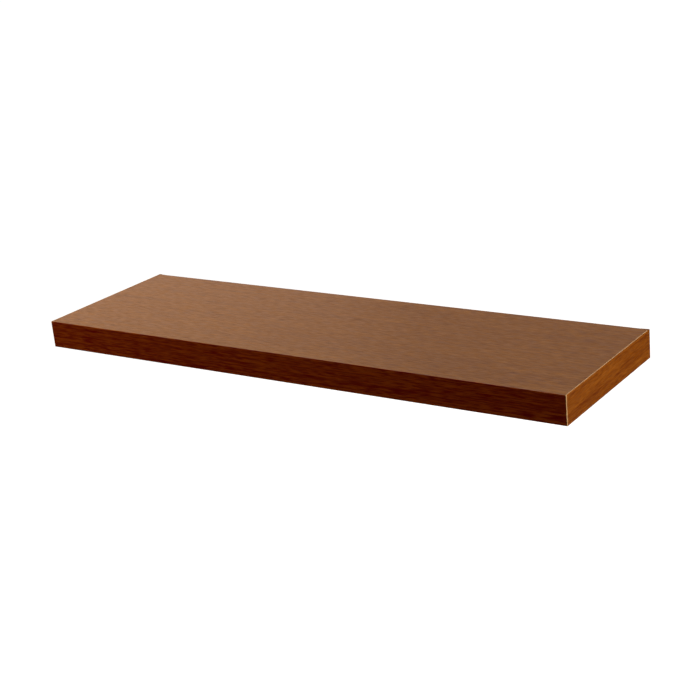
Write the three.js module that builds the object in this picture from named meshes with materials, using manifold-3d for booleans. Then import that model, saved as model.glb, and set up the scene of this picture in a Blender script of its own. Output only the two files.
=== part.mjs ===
// Floating wall shelf: a hollow-core board that slides onto the rods of a concealed steel bracket.
//
// The board is a timber frame with a paper honeycomb between thin fibreboard skins. The skins are one
// sheet, mitred and folded round the front, and a wood-grain foil covers them in one piece. A banding
// strip, trimmed flush, closes each end and is folded round the rear corner, where its thick tail
// stands off the back edge. Three bored blocks inside guide the rods, and two grub screws, reached from
// below, lock the board to the outer rods.
//
// Millimetres. +X runs along the shelf, -Y away from the wall and +Z up. The origin is the middle of
// the bracket's wall face, so the wall is the plane y = 0.
import * as THREE from "three";
import { mergeVertices } from "three/addons/utils/BufferGeometryUtils.js";
import Module from "manifold-3d";

// Board, with its length over the banding
const shelfLength = 800;
const shelfDepth = 235;
const shelfThickness = 38;

// Wrapped panels
const foilThickness = 0.4;
const foldRadius = 1;
const skinThickness = 3;
const glueLine = 0.1;

// Edge banding
const bandThickness = 1;
const bandEdgeRadius = 0.5;
const bandFrontRadius = 0.8;
const bandCornerRadius = 1.2;
const bandTail = 11;
const bandTailRise = 2.1;
const bandTailTip = 0.7;

// Timber frame
const frontRailDepth = 22;
const endRailWidth = 22;
const rearRailDepth = 18;

// Honeycomb core
const cellSide = 17;
const paperThickness = 0.5;
const coreClearance = 0.5;

// Bracket rail, in the pocket behind the rear rail
const railThickness = 3;
const railEndGap = 26.9;
const railEdgeGap = 2.4;
const railCornerRadius = 4;
const fixingHoleDiameter = 5.5;
const fixingHeadDiameter = 10.5;
const fixingOffset = 65;

// Bracket rods
const rodDiameter = 12;
const rodReach = 130;
const rodEndSetback = 90;
const rodTipChamfer = 2;
const spigotDiameter = 8;
const spigotClearance = 0.15;
const weldLeg = 2;

// Rod bushes
const bushWall = 2;
const bushFlange = 3;
const bushFlangeThickness = 1.5;
const bushClearance = 0.2;
const bushFit = 0.1;
const weldClearance = 0.85;

// Rod guide blocks
const blockWidth = 60;
const blockBoreClearance = 0.5;
const rodTipCover = 18;

// Locking screws
const lockSetback = 58;
const lockScrewDiameter = 6;
const lockScrewLength = 10;
const lockTipGap = 0.3;
const lockTipChamfer = 1;
const socketAcrossFlats = 3;
const socketDepth = 4;
const threadClearance = 0.1;
const insertWall = 2;
const insertRib = 0.4;
const insertRibPitch = 2;
const insertFit = 0.1;
const accessHoleDiameter = 9;

// Facets and cuts
const roundSides = 32;
const smallRoundSides = 20;
const cornerSteps = 6;
const cutOverrun = 5;

// The board's outside
const bodyLength = shelfLength - 2 * (bandThickness + glueLine);
const bodyRear = -bandTailRise - glueLine;
const bodyFront = bodyRear - shelfDepth;
const outerHeight = shelfThickness / 2;

// The folded skins, with an eased arris where the foil turns
const foldEase = foldRadius - foilThickness;
const skinOuter = outerHeight - foilThickness - glueLine;
const skinInner = skinOuter - skinThickness;
const frontSkinOuter = bodyFront + foilThickness + glueLine;
const frontSkinInner = frontSkinOuter + skinThickness;

// The frame between the skins
const frameTop = skinInner - glueLine;
const frameHeight = 2 * frameTop;
const frontRailFront = frontSkinInner + glueLine;
const frontRailRear = frontRailFront + frontRailDepth;
const endRailInner = bodyLength / 2 - endRailWidth;
const pocketDepth = railThickness + weldLeg + weldClearance + bushFlangeThickness;
const rearRailRear = -pocketDepth;
const rearRailFront = rearRailRear - rearRailDepth;

// The bracket
const railLength = 2 * (endRailInner - railEndGap);
const railHeight = frameHeight - 2 * railEdgeGap;
const rodRadius = rodDiameter / 2;
const rodTip = -railThickness - rodReach;
const rodOffset = railLength / 2 - rodEndSetback;

// What takes the rods
const bushBore = rodRadius + bushClearance;
const bushOuter = bushBore + bushWall;
const blockBore = rodRadius + blockBoreClearance;
const blockRear = rearRailFront - glueLine;
const blockFront = rodTip - rodTipCover;

// The locking screws and their inserts
const insertBore = lockScrewDiameter / 2 + threadClearance;
const insertOuter = insertBore + insertWall;
const insertTop = -blockBore - insertFit;
const insertLength = frameTop + insertTop;
const lockTip = -rodRadius - lockTipGap;

// Places along the shelf of what repeats
const rods = { left: -rodOffset, centre: 0, right: rodOffset };
const locks = { left: -rodOffset, right: rodOffset };

// Each end is the right-hand one, turned by half a turn for the left
const ends = { left: Math.PI, right: 0 };

const wasm = await Module();
wasm.setup();

// Materials
function finish(color, roughness, metalness = 0) {
  return new THREE.MeshStandardMaterial({ color, roughness, metalness });
}
const woodFoil = finish(0x7a3d14, 0.38);
const bandFoil = finish(0x84420f, 0.4);
const fibreboard = finish(0xa98458, 0.85);
const battenTimber = finish(0xc49b66, 0.8);
const blockTimber = finish(0xcaa472, 0.8);
const kraftPaper = finish(0xb08a5a, 0.95);
const zincSteel = finish(0xb9bcbf, 0.35, 0.9);
const blackPlastic = finish(0x1c1c1e, 0.5);
const brass = finish(0xb08d4a, 0.35, 1);
const darkSteel = finish(0x2f3032, 0.4, 0.9);

// A closed geometry as a solid that can be cut and joined
function solidOf(geometry) {
  const loose = geometry.index ? geometry.toNonIndexed() : geometry;
  const bare = new THREE.BufferGeometry().setAttribute("position", loose.getAttribute("position"));
  const merged = mergeVertices(bare);
  return new wasm.Manifold(
    new wasm.Mesh({
      numProp: 3,
      vertProperties: merged.getAttribute("position").array,
      triVerts: new Uint32Array(merged.index.array),
    }),
  );
}

// A solid as a geometry again, with flat faces
function geometryOf(solid) {
  const mesh = solid.getMesh();
  const geometry = new THREE.BufferGeometry();
  geometry.setAttribute("position", new THREE.BufferAttribute(mesh.vertProperties, mesh.numProp));
  geometry.setIndex(new THREE.BufferAttribute(mesh.triVerts, 1));
  const flat = geometry.toNonIndexed();
  flat.computeVertexNormals();
  return flat;
}

// A box between two corners, each given as x, y and z
function boxBetween(low, high) {
  const [width, depth, height] = high.map((value, axis) => value - low[axis]);
  const [x, y, z] = high.map((value, axis) => (value + low[axis]) / 2);
  return new THREE.BoxGeometry(width, depth, height).translate(x, y, z);
}

// An outline given straight along its third axis, with its corners stepped alike everywhere
function prism(outline, length) {
  return new THREE.ExtrudeGeometry(outline, {
    depth: length,
    bevelEnabled: false,
    curveSegments: cornerSteps,
  });
}

// A prism on a plan outline, from one height to another
function upright(plan, bottom, top) {
  return prism(plan, top - bottom).translate(0, 0, bottom);
}

// A section drawn in depth and height, run along the wrapped board's whole length
function alongBoard(section) {
  const alongShelf = new THREE.Matrix4().makeBasis(
    new THREE.Vector3(0, 1, 0),
    new THREE.Vector3(0, 0, 1),
    new THREE.Vector3(1, 0, 0),
  );
  return prism(section, bodyLength).translate(0, 0, -bodyLength / 2).applyMatrix4(alongShelf);
}

// A form turned on the depth axis, from radius and depth pairs that run towards the room
function turned(profile, sides) {
  const points = profile.map(([radius, depth]) => new THREE.Vector2(radius, -depth));
  return new THREE.LatheGeometry(points.reverse(), sides);
}

// A form turned on the upright axis, from radius and height pairs that run upwards
function turnedUpright(profile, sides) {
  const points = profile.map(([radius, height]) => new THREE.Vector2(radius, height));
  return new THREE.LatheGeometry(points, sides).rotateX(Math.PI / 2);
}

// A round cutter along the depth axis
function boreAlongDepth(radius, x, rear, front) {
  const bore = new THREE.CylinderGeometry(radius, radius, rear - front, roundSides);
  return solidOf(bore.translate(x, (rear + front) / 2, 0));
}

// A round cutter along the upright axis, under a locking screw's place
function boreAtLock(radius, x, bottom, top) {
  const bore = new THREE.CylinderGeometry(radius, radius, top - bottom, smallRoundSides);
  return solidOf(bore.rotateX(Math.PI / 2).translate(x, -lockSetback, (bottom + top) / 2));
}

// A panel on the underside, with the holes through which a key reaches the locking screws
function cutForKeys(panel) {
  let cut = panel;
  for (const x of Object.values(locks)) {
    cut = cut.subtract(boreAtLock(accessHoleDiameter / 2, x, -outerHeight - cutOverrun, -frameTop));
  }
  return cut;
}

// The decor foil in one sheet: over the top, round the front and back along the underside
function decorFoil() {
  const foldY = bodyFront + foldRadius;
  const foldZ = outerHeight - foldRadius;
  const quarter = Math.PI / 2;
  const section = new THREE.Shape();
  section.moveTo(bodyRear, outerHeight);
  section.lineTo(foldY, outerHeight);
  section.absarc(foldY, foldZ, foldRadius, quarter, 2 * quarter, false);
  section.lineTo(bodyFront, -foldZ);
  section.absarc(foldY, -foldZ, foldRadius, 2 * quarter, 3 * quarter, false);
  section.lineTo(bodyRear, -outerHeight);
  section.lineTo(bodyRear, -outerHeight + foilThickness);
  section.lineTo(foldY, -outerHeight + foilThickness);
  section.absarc(foldY, -foldZ, foldEase, 3 * quarter, 2 * quarter, true);
  section.lineTo(bodyFront + foilThickness, foldZ);
  section.absarc(foldY, foldZ, foldEase, 2 * quarter, quarter, true);
  section.lineTo(bodyRear, outerHeight - foilThickness);
  return geometryOf(cutForKeys(solidOf(alongBoard(section))));
}

// A large skin, its front edge mitred for the fold: 1 is the top one and -1 the bottom one
function largeSkin(side) {
  const eased = frontSkinOuter + foldEase + glueLine;
  const section = new THREE.Shape();
  section.moveTo(bodyRear, side * skinOuter);
  section.lineTo(bodyRear, side * skinInner);
  section.lineTo(frontSkinInner + glueLine, side * skinInner);
  section.lineTo(eased, side * (skinOuter - foldEase));
  section.lineTo(eased, side * skinOuter);
  return alongBoard(section);
}

function bottomSkin() {
  return geometryOf(cutForKeys(solidOf(largeSkin(-1))));
}

// The front skin fills between the two mitres
function frontSkin() {
  const arris = skinOuter - foldEase - glueLine;
  const heel = skinInner - glueLine;
  const section = new THREE.Shape();
  section.moveTo(frontSkinOuter, arris);
  section.lineTo(frontSkinOuter, -arris);
  section.lineTo(frontSkinOuter + foldEase, -arris);
  section.lineTo(frontSkinInner, -heel);
  section.lineTo(frontSkinInner, heel);
  section.lineTo(frontSkinOuter + foldEase, arris);
  return alongBoard(section);
}

// What the banding's rounded top and bottom edges leave of a strip, as a section run along the depth
function roundedEdges() {
  const outer = shelfLength / 2;
  const top = outerHeight;
  const round = bandEdgeRadius;
  const quarter = Math.PI / 2;
  const section = new THREE.Shape();
  section.moveTo(outer - bandTail - cutOverrun, -top);
  section.absarc(outer - round, round - top, round, -quarter, 0, false);
  section.absarc(outer - round, top - round, round, 0, quarter, false);
  section.lineTo(outer - bandTail - cutOverrun, top);
  const length = 2 * cutOverrun - bodyFront;
  return prism(section, length).rotateX(quarter).translate(0, cutOverrun, 0);
}

// A banding strip: along the right end, round the rear corner and, tapering, along the back
function edgeBand() {
  const outer = shelfLength / 2;
  const inner = outer - bandThickness;
  const round = bandFrontRadius;
  const corner = bandCornerRadius;
  const quarter = Math.PI / 2;
  const strip = new THREE.Shape();
  strip.moveTo(inner, bodyFront);
  strip.absarc(outer - round, bodyFront + round, round, -quarter, 0, false);
  strip.absarc(outer - corner, -corner, corner, 0, quarter, false);
  strip.lineTo(outer - bandTail, bandTailTip - bandTailRise);
  strip.lineTo(outer - bandTail, -bandTailRise);
  strip.lineTo(inner, -bandTailRise);
  const upstand = solidOf(upright(strip, -outerHeight, outerHeight));
  return geometryOf(upstand.intersect(solidOf(roundedEdges())));
}

function frontRail() {
  const half = bodyLength / 2;
  return boxBetween([-half, frontRailFront, -frameTop], [half, frontRailRear, frameTop]);
}

function endRail() {
  const front = frontRailRear + glueLine;
  return boxBetween([endRailInner, front, -frameTop], [bodyLength / 2, bodyRear, frameTop]);
}

// The rear rail stands in from the back edge, so the bracket's rail lies in the pocket behind it
function rearRail() {
  const half = endRailInner - glueLine;
  const batten = boxBetween([-half, rearRailFront, -frameTop], [half, rearRailRear, frameTop]);
  const rear = rearRailRear + cutOverrun;
  const front = rearRailFront - cutOverrun;
  let rail = solidOf(batten);
  for (const x of Object.values(rods)) {
    rail = rail.subtract(boreAlongDepth(bushOuter + bushFit, x, rear, front));
  }
  return geometryOf(rail);
}

// A flanged bush that lines a bore of the rear rail, with an eased mouth for the rod
function rodBush() {
  const flange = bushOuter + bushFlange;
  const ease = bushFlangeThickness / 2;
  const mouth = [bushBore + ease, -bushFlangeThickness];
  return turned(
    [
      mouth,
      [flange - ease, -bushFlangeThickness],
      [flange, -ease],
      [flange, -bushFit],
      [bushOuter, -bushFit],
      [bushOuter, rearRailDepth],
      [bushBore, rearRailDepth],
      [bushBore, -ease],
      mouth,
    ],
    roundSides,
  );
}

// A block bored for its rod and, on a locked rod, bored from below for the insert
function guideBlock(x, locked) {
  const half = blockWidth / 2;
  const block = boxBetween([x - half, blockFront, -frameTop], [x + half, blockRear, frameTop]);
  const bore = boreAlongDepth(blockBore, x, blockRear + cutOverrun, blockFront - cutOverrun);
  let cut = solidOf(block).subtract(bore);
  if (locked) {
    cut = cut.subtract(boreAtLock(insertOuter + insertRib + insertFit, x, -frameTop - cutOverrun, 0));
  }
  return geometryOf(cut);
}

// A ribbed brass insert, pressed into a guide block from below
function lockInsert() {
  const ribs = Math.max(1, Math.floor(insertLength / insertRibPitch));
  const pitch = insertLength / ribs;
  const outline = [[insertBore, 0]];
  for (let rib = 0; rib < ribs; rib += 1) {
    outline.push([insertOuter, rib * pitch]);
    outline.push([insertOuter + insertRib, (rib + 1 / 2) * pitch]);
  }
  outline.push([insertOuter, insertLength], [insertBore, insertLength], [insertBore, 0]);
  return turnedUpright(outline, smallRoundSides);
}

// A grub screw with a cupped point and, underneath, a hexagon socket
function lockScrew() {
  const radius = lockScrewDiameter / 2;
  const ease = lockTipChamfer / 2;
  const outline = [
    [0, -lockScrewLength],
    [radius - ease, -lockScrewLength],
    [radius, -lockScrewLength + ease],
    [radius, -lockTipChamfer],
    [radius - lockTipChamfer, 0],
    [0, -lockTipChamfer],
  ];
  const socketRadius = socketAcrossFlats / 2 / Math.cos(Math.PI / 6);
  const key = new THREE.CylinderGeometry(socketRadius, socketRadius, socketDepth + cutOverrun, 6);
  const keyMiddle = -lockScrewLength + (socketDepth - cutOverrun) / 2;
  const socket = solidOf(key.rotateX(Math.PI / 2).translate(0, 0, keyMiddle));
  return geometryOf(solidOf(turnedUpright(outline, smallRoundSides)).subtract(socket));
}

// The hollow of one honeycomb cell: a hexagon with two of its sides along the depth
function cellHollow(x, y) {
  const halfWidth = (cellSide * Math.sqrt(3)) / 2;
  const halfSide = cellSide / 2;
  const outline = new THREE.Shape();
  outline.moveTo(x, y + cellSide);
  outline.lineTo(x - halfWidth, y + halfSide);
  outline.lineTo(x - halfWidth, y - halfSide);
  outline.lineTo(x, y - cellSide);
  outline.lineTo(x + halfWidth, y - halfSide);
  outline.lineTo(x + halfWidth, y + halfSide);
  return solidOf(upright(outline, -frameTop - cutOverrun, frameTop + cutOverrun));
}

// The paper honeycomb. Cells side by side share two papers glued together and the slanted walls are
// one paper thick. The sheet is cut out round the guide blocks, and loose ends of paper fall away
function honeycombCore() {
  const half = endRailInner - coreClearance;
  const front = frontRailRear + coreClearance;
  const rear = rearRailFront - coreClearance;
  const middle = (front + rear) / 2;
  const pitchX = cellSide * Math.sqrt(3) + 2 * paperThickness;
  const pitchY = (cellSide * 3) / 2 + paperThickness / Math.sqrt(3);
  const rows = Math.ceil((rear - middle) / pitchY);
  const columns = Math.ceil(half / pitchX);
  const hollows = [];
  for (let row = -rows; row <= rows; row += 1) {
    const shift = row % 2 === 0 ? 0 : pitchX / 2;
    for (let column = -columns; column <= columns; column += 1) {
      hollows.push(cellHollow(column * pitchX + shift, middle + row * pitchY));
    }
  }
  const sheet = solidOf(boxBetween([-half, front, -frameTop], [half, rear, frameTop]));
  let core = sheet.subtract(wasm.Manifold.union(hollows));
  const side = blockWidth / 2 + coreClearance;
  for (const x of Object.values(rods)) {
    const low = [x - side, blockFront - coreClearance, -frameTop - cutOverrun];
    const high = [x + side, rear + cutOverrun, frameTop + cutOverrun];
    core = core.subtract(solidOf(boxBetween(low, high)));
  }
  const [largest] = core.decompose().sort((a, b) => b.volume() - a.volume());
  return geometryOf(largest);
}

// The bracket's rail: a round-cornered strip with a hole for each rod's spigot and, on either side of
// it, a countersunk hole for fixing to the wall
function wallRail() {
  const halfLength = railLength / 2;
  const halfHeight = railHeight / 2;
  const r = railCornerRadius;
  const quarter = Math.PI / 2;
  const strip = new THREE.Shape();
  strip.moveTo(-halfLength + r, -halfHeight);
  strip.absarc(halfLength - r, -halfHeight + r, r, -quarter, 0, false);
  strip.absarc(halfLength - r, halfHeight - r, r, 0, quarter, false);
  strip.absarc(-halfLength + r, halfHeight - r, r, quarter, 2 * quarter, false);
  strip.absarc(-halfLength + r, -halfHeight + r, r, 2 * quarter, 3 * quarter, false);
  let rail = solidOf(prism(strip, railThickness).rotateX(quarter));
  const spigotHole = spigotDiameter / 2 + spigotClearance;
  for (const x of Object.values(rods)) {
    rail = rail.subtract(boreAlongDepth(spigotHole, x, cutOverrun, -railThickness - cutOverrun));
    rail = rail.subtract(countersink(x - fixingOffset)).subtract(countersink(x + fixingOffset));
  }
  return geometryOf(rail);
}

// A countersunk hole's cutter, its wide end on the room side of the rail
function countersink(x) {
  const hole = fixingHoleDiameter / 2;
  const head = fixingHeadDiameter / 2;
  const cutter = turned(
    [
      [0, -cutOverrun],
      [hole, -cutOverrun],
      [hole, railThickness - (head - hole)],
      [head, railThickness],
      [head, railThickness + cutOverrun],
      [0, railThickness + cutOverrun],
    ],
    smallRoundSides,
  );
  return solidOf(cutter.translate(x, 0, 0));
}

// A rod: its spigot fills the rail's hole, a weld rings its foot and its tip is tapered to lead in
function bracketRod() {
  const foot = railThickness + spigotClearance;
  const tip = railThickness + rodReach;
  return turned(
    [
      [0, 0],
      [spigotDiameter / 2, 0],
      [spigotDiameter / 2, foot],
      [rodRadius + weldLeg, foot],
      [rodRadius + weldLeg / 3, railThickness + weldLeg / 3],
      [rodRadius, railThickness + weldLeg],
      [rodRadius, tip - rodTipChamfer],
      [rodRadius - rodTipChamfer, tip],
      [0, tip],
    ],
    roundSides,
  );
}

function piece(name, geometry, material, x = 0, y = 0, z = 0) {
  const mesh = new THREE.Mesh(geometry, material);
  mesh.name = name;
  mesh.position.set(x, y, z);
  return mesh;
}

// The bracket stays on the wall
const bracket = new THREE.Group();
bracket.add(piece("wall_rail", wallRail(), zincSteel));
for (const [place, x] of Object.entries(rods)) {
  bracket.add(piece(`rod_${place}`, bracketRod(), zincSteel, x));
}

// The board slides on and off the bracket
const board = new THREE.Group();
board.add(piece("decor_foil", decorFoil(), woodFoil));
board.add(piece("top_skin", largeSkin(1), fibreboard));
board.add(piece("bottom_skin", bottomSkin(), fibreboard));
board.add(piece("front_skin", frontSkin(), fibreboard));
board.add(piece("front_rail", frontRail(), battenTimber));
board.add(piece("rear_rail", rearRail(), battenTimber));
board.add(piece("honeycomb_core", honeycombCore(), kraftPaper));
for (const [place, turn] of Object.entries(ends)) {
  const end = new THREE.Group();
  end.rotation.y = turn;
  end.add(piece(`end_rail_${place}`, endRail(), battenTimber));
  end.add(piece(`edge_band_${place}`, edgeBand(), bandFoil));
  board.add(end);
}
for (const [place, x] of Object.entries(rods)) {
  board.add(piece(`guide_block_${place}`, guideBlock(x, place in locks), blockTimber));
  board.add(piece(`rod_bush_${place}`, rodBush(), blackPlastic, x, rearRailRear));
}

// The locking screws turn up against the outer rods
for (const [place, x] of Object.entries(locks)) {
  board.add(piece(`lock_insert_${place}`, lockInsert(), brass, x, -lockSetback, -frameTop));
  board.add(piece(`lock_screw_${place}`, lockScrew(), darkSteel, x, -lockSetback, lockTip));
}

const shelf = new THREE.Group();
shelf.add(bracket, board);

export default shelf;
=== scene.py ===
"""Looks of a floating wall shelf: a foil-wrapped hollow-core board on a concealed steel bracket.

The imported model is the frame. Its nodes keep their place, the pieces that show get finer meshes, and
every surface gets a finish. Lengths are metres: +X along the shelf, -Y into the room and +Z up.
"""
from __future__ import annotations

import logging
import math
from contextlib import contextmanager
from dataclasses import dataclass
from enum import Enum
from typing import Any, Callable, Iterator, Sequence

import bmesh
import bpy
from mathutils import Euler, Matrix, Vector


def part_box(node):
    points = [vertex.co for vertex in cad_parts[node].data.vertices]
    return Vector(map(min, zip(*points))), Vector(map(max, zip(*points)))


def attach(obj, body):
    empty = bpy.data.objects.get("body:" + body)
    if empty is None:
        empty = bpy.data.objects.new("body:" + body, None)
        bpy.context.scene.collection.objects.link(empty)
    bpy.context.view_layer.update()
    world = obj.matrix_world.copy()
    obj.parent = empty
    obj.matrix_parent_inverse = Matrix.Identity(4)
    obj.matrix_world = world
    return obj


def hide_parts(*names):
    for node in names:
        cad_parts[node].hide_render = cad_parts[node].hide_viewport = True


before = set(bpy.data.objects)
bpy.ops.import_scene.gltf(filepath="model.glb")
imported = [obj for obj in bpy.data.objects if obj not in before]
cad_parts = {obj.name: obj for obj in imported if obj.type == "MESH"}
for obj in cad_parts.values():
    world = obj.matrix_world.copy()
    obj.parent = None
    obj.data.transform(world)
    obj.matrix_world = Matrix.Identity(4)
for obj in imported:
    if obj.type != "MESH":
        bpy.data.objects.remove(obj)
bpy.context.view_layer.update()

log = logging.getLogger("shelf")

MM = 0.001
NEAR = 0.05 * MM
SLIVER = 0.002 * MM
SAME_PLACE = 0.001 * MM
OVERRUN = 1.0 * MM
# A direction is aligned with an axis over the first share of it, and square to it under the second.
ALIGNED = 0.9
SQUARE = 0.1
QUARTER_TURN = math.pi / 2
HALF_TURN = math.pi
FULL_TURN = 2 * math.pi
SMOOTH_UNDER = math.radians(30)
ROUND_SIDES = 64
EASE_STEPS = 2
SIDES = ("left", "right")
PLACES = ("left", "centre", "right")

Colour = tuple[float, float, float]
Point = tuple[float, float, float]
Pair = tuple[float, float]
Band = tuple[float, float, float]
Socket = bpy.types.NodeSocket
Material = bpy.types.Material
Test = Callable[[Vector, Vector], bool]

ORIGIN = (0.0, 0.0, 0.0)
WHITE = (1.0, 1.0, 1.0)


class Along(Enum):
    """The way a grain or a brushed finish runs."""

    LENGTH = 0
    DEPTH = 1
    HEIGHT = 2


class Grip(Enum):
    """What an edit-mode selection picks, by its name in a mesh and its selection mode."""

    CORNERS = ("verts", "VERT")
    EDGES = ("edges", "EDGE")
    FACES = ("faces", "FACE")


class Join(Enum):
    """What a boolean does with a second piece."""

    CUT_OUT = "DIFFERENCE"
    ADD_ON = "UNION"
    KEEP_INSIDE = "INTERSECT"


def middle_of(node: str) -> Vector:
    """Returns the middle of a node's box."""
    return sum(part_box(node), Vector()) / 2


# Shader maths


@dataclass(frozen=True)
class Marks:
    """A random pattern: the size of its marks, its finer layers, their strength, and its shift in marks.

    Its noise has values about MIDDLE. The width is also the height where no height is given.
    """

    MIDDLE = 0.5

    length: float
    width: float
    height: float | None = None
    detail: float = 2.0
    rough: float = 0.5
    shift: Point = ORIGIN

    def size(self, along: Along) -> Point:
        """Returns a mark's size on each axis when its length is laid along one of them."""
        across = (self.width, self.width, self.width if self.height is None else self.height)
        return tuple(self.length if axis is along else across[axis.value] for axis in Along)


@dataclass(frozen=True)
class Signal:
    """A value that changes over a surface, read from a socket, for use in plain arithmetic."""

    recipe: Recipe
    socket: Socket

    def _math(self, operation: str, *values: Signal | float) -> Signal:
        """Returns a Math node's result for these values."""
        node = self.recipe.node("ShaderNodeMath", {"operation": operation}, dict(enumerate(values)))
        return Signal(self.recipe, node.outputs[0])

    def __add__(self, other: Signal | float) -> Signal:
        """Returns this plus other."""
        return self._math("ADD", self, other)

    def __sub__(self, other: Signal | float) -> Signal:
        """Returns this less other."""
        return self._math("SUBTRACT", self, other)

    def __rsub__(self, other: float) -> Signal:
        """Returns other less this."""
        return self._math("SUBTRACT", other, self)

    def __mul__(self, other: Signal | float) -> Signal:
        """Returns this times other."""
        return self._math("MULTIPLY", self, other)

    def __pow__(self, other: float) -> Signal:
        """Returns this to the power other."""
        return self._math("POWER", self, other)

    __radd__ = __add__
    __rmul__ = __mul__

    def wave(self) -> Signal:
        """Returns the sine of this."""
        return self._math("SINE", self)

    def band(self, low: float, high: float, full: float = 1.0) -> Signal:
        """Turns a stretch of values into a share, with soft ends.

        Args:
            low: The value where the share is nothing.
            high: The value where it is full, which may be the lower one.
            full: The full share.

        Returns:
            The eased share.
        """
        start, end = (0.0, full) if low < high else (full, 0.0)
        node = self.recipe.node("ShaderNodeMapRange", {"interpolation_type": "SMOOTHSTEP"}, {
            "Value": self, "From Min": min(low, high), "From Max": max(low, high),
            "To Min": start, "To Max": end})
        return Signal(self.recipe, node.outputs["Result"])


class Recipe:
    """A finish's node tree: one shader whose varying sockets are fed from patterns in Object space."""

    THROUGH_STRIP = 0.02

    def __init__(self, name: str) -> None:
        """Starts a material.

        Args:
            name: The finish's name.
        """
        self.material = bpy.data.materials.new(name)
        self.material.use_nodes = True
        self.tree = self.material.node_tree
        self.place = self.node("ShaderNodeTexCoord").outputs["Object"]

    def node(self, kind: str, settings: dict[str, Any] | None = None,
             feeds: dict[str | int, Any] | None = None) -> bpy.types.Node:
        """Adds a node of any kind.

        Args:
            kind: The node's type.
            settings: Its own settings, which are made first.
            feeds: Signals, sockets or plain values for its inputs, by their name or number.

        Returns:
            The node.
        """
        node = self.tree.nodes.new(kind)
        for key, value in (settings or {}).items():
            setattr(node, key, value)
        self.feed(node, feeds or {})
        return node

    def feed(self, node: bpy.types.Node, feeds: dict[str | int, Any]) -> None:
        """Links or sets a node's inputs.

        Args:
            node: The node.
            feeds: Signals, sockets or plain values, by the inputs' name or number.
        """
        for key, value in feeds.items():
            slot = node.inputs[key]
            source = value.socket if isinstance(value, Signal) else value
            if isinstance(source, Socket):
                self.tree.links.new(source, slot)
            else:
                slot.default_value = (*source, 1.0) if slot.type == "RGBA" else source

    def axis(self, along: Along) -> Signal:
        """Returns one coordinate of the piece, in metres."""
        parts = self.node("ShaderNodeSeparateXYZ", feeds={"Vector": self.place})
        return Signal(self, parts.outputs[along.value])

    def follow_strip(self) -> None:
        """Lets later patterns run along a strip that is folded from the end round the rear corner."""
        length, depth, height = (self.axis(along) for along in Along)
        reach = (length * length) ** 0.5
        unrolled = self.node("ShaderNodeCombineXYZ", feeds={
            "X": length * self.THROUGH_STRIP, "Y": depth - reach, "Z": height})
        self.place = unrolled.outputs[0]

    def stretched(self, marks: Marks, along: Along) -> Socket:
        """Returns the piece's space, scaled so that one unit is the size of one mark."""
        scale = tuple(1 / side for side in marks.size(along))
        return self.node("ShaderNodeMapping", feeds={
            "Vector": self.place, "Scale": scale, "Location": marks.shift}).outputs[0]

    def noise(self, marks: Marks, along: Along = Along.LENGTH, sway: Signal | None = None,
              sway_axis: Along = Along.DEPTH) -> Signal:
        """Makes a soft random pattern.

        Args:
            marks: Its marks.
            along: The way the marks are laid.
            sway: How far the pattern is pushed sideways, in marks.
            sway_axis: The way it is pushed.

        Returns:
            The pattern's values.
        """
        vector = self.stretched(marks, along)
        if sway is not None:
            push = self.node("ShaderNodeCombineXYZ", feeds={sway_axis.value: sway})
            added = self.node("ShaderNodeVectorMath", {"operation": "ADD"}, {0: vector, 1: push.outputs[0]})
            vector = added.outputs[0]
        made = self.node("ShaderNodeTexNoise", feeds={
            "Vector": vector, "Scale": 1.0, "Detail": marks.detail, "Roughness": marks.rough})
        return Signal(self, made.outputs["Fac"])

    def mix(self, share: Signal | float, first: Any, second: Any) -> Socket:
        """Returns a mix of two colours or colour sockets that holds this share of the second."""
        return self.node("ShaderNodeMix", {"data_type": "RGBA"}, {0: share, 6: first, 7: second}).outputs[2]

    def finish(self, feeds: dict[str, Any], relief: Signal | None = None,
               depth: float = 0.0) -> Material:
        """Feeds the shader and gives the material.

        Args:
            feeds: Signals, sockets or plain values for the shader's inputs, by name.
            relief: Height over the surface, from 0 to 1.
            depth: How many metres that height stands for.

        Returns:
            The material.
        """
        shader = self.tree.nodes["Principled BSDF"]
        self.feed(shader, feeds)
        if relief is not None:
            bump = self.node("ShaderNodeBump", feeds={"Height": relief, "Distance": depth, "Strength": 1.0})
            self.tree.links.new(bump.outputs["Normal"], shader.inputs["Normal"])
        return self.material


# Finishes


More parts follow.
